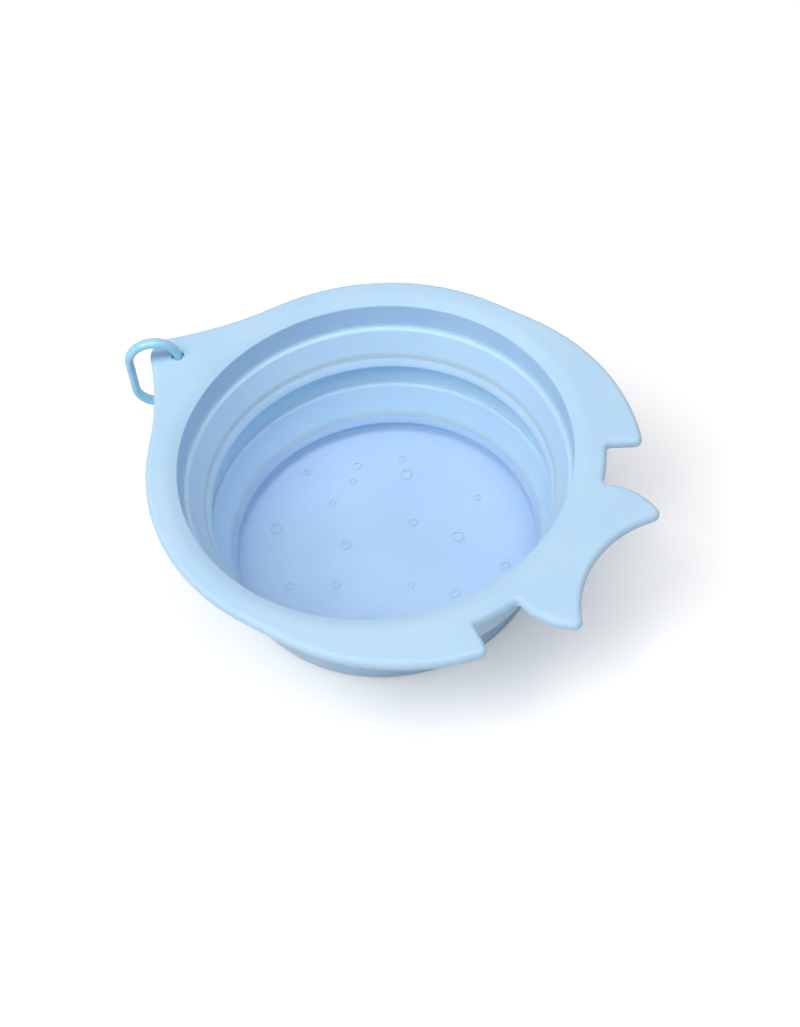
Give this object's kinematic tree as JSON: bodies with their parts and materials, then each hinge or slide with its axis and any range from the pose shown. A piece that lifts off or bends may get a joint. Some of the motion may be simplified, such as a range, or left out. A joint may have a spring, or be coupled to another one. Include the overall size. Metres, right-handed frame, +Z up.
{
  "type": "collapsible silicone bowl",
  "caption": "Collapsible silicone bowl with a flat fish-shaped rim, stiff rings joined by thin turn-over folds, and a small sprung carabiner in the rim's nose.",
  "frame": {"origin": "centre of the flat underside of the base, on the surface that the opened bowl stands on", "axes": "+X towards the fish's tail, +Z up along the bowl's axis, +Y to the left of the tail"},
  "size_m": [0.187, 0.1502, 0.0651],
  "materials": {
    "silicone_rim": "satin light blue silicone",
    "silicone_wall": "satin light blue silicone",
    "blue_paint": "gloss blue coating on aluminium rod",
    "steel": "bright steel"
  },
  "bodies": {
    "base": {"floor_panel": "silicone_wall", "lower_ring": "silicone_wall", "floor_bubbles": "silicone_wall", "lower_fold": "silicone_wall"},
    "middle": {"middle_ring": "silicone_wall", "upper_fold": "silicone_wall"},
    "rim": {"fish_rim": "silicone_rim", "upper_ring": "silicone_wall"},
    "carabiner": {"carabiner_frame": "blue_paint", "hinge_rivet": "steel"},
    "gate": {"carabiner_gate": "blue_paint", "gate_spring": "steel"}
  },
  "joints": [
    {"name": "lower_fold_press", "type": "slide", "parent": "base", "child": "middle", "axis": [0, 0, -1], "range_m": [0, 0.0175], "deforming": ["lower_fold"]},
    {"name": "upper_fold_press", "type": "slide", "parent": "middle", "child": "rim", "axis": [0, 0, -1], "range_m": [0, 0.0145], "deforming": ["upper_fold"]},
    {"name": "carabiner_swing", "type": "hinge", "parent": "rim", "child": "carabiner", "pos_m": [-0.08734, -0.00407, 0.0552], "axis": [-0.6441, 0.7649, 0], "range_deg": [0, 90]},
    {"name": "gate_swing", "type": "hinge", "parent": "carabiner", "child": "gate", "pos_m": [-0.08099, 0.00127, 0.0446], "axis": [0.6441, -0.7649, 0], "range_deg": [0, 35], "stiffness_Nm_per_rad": 0.0001, "springref_deg": -34.38}
  ]
}
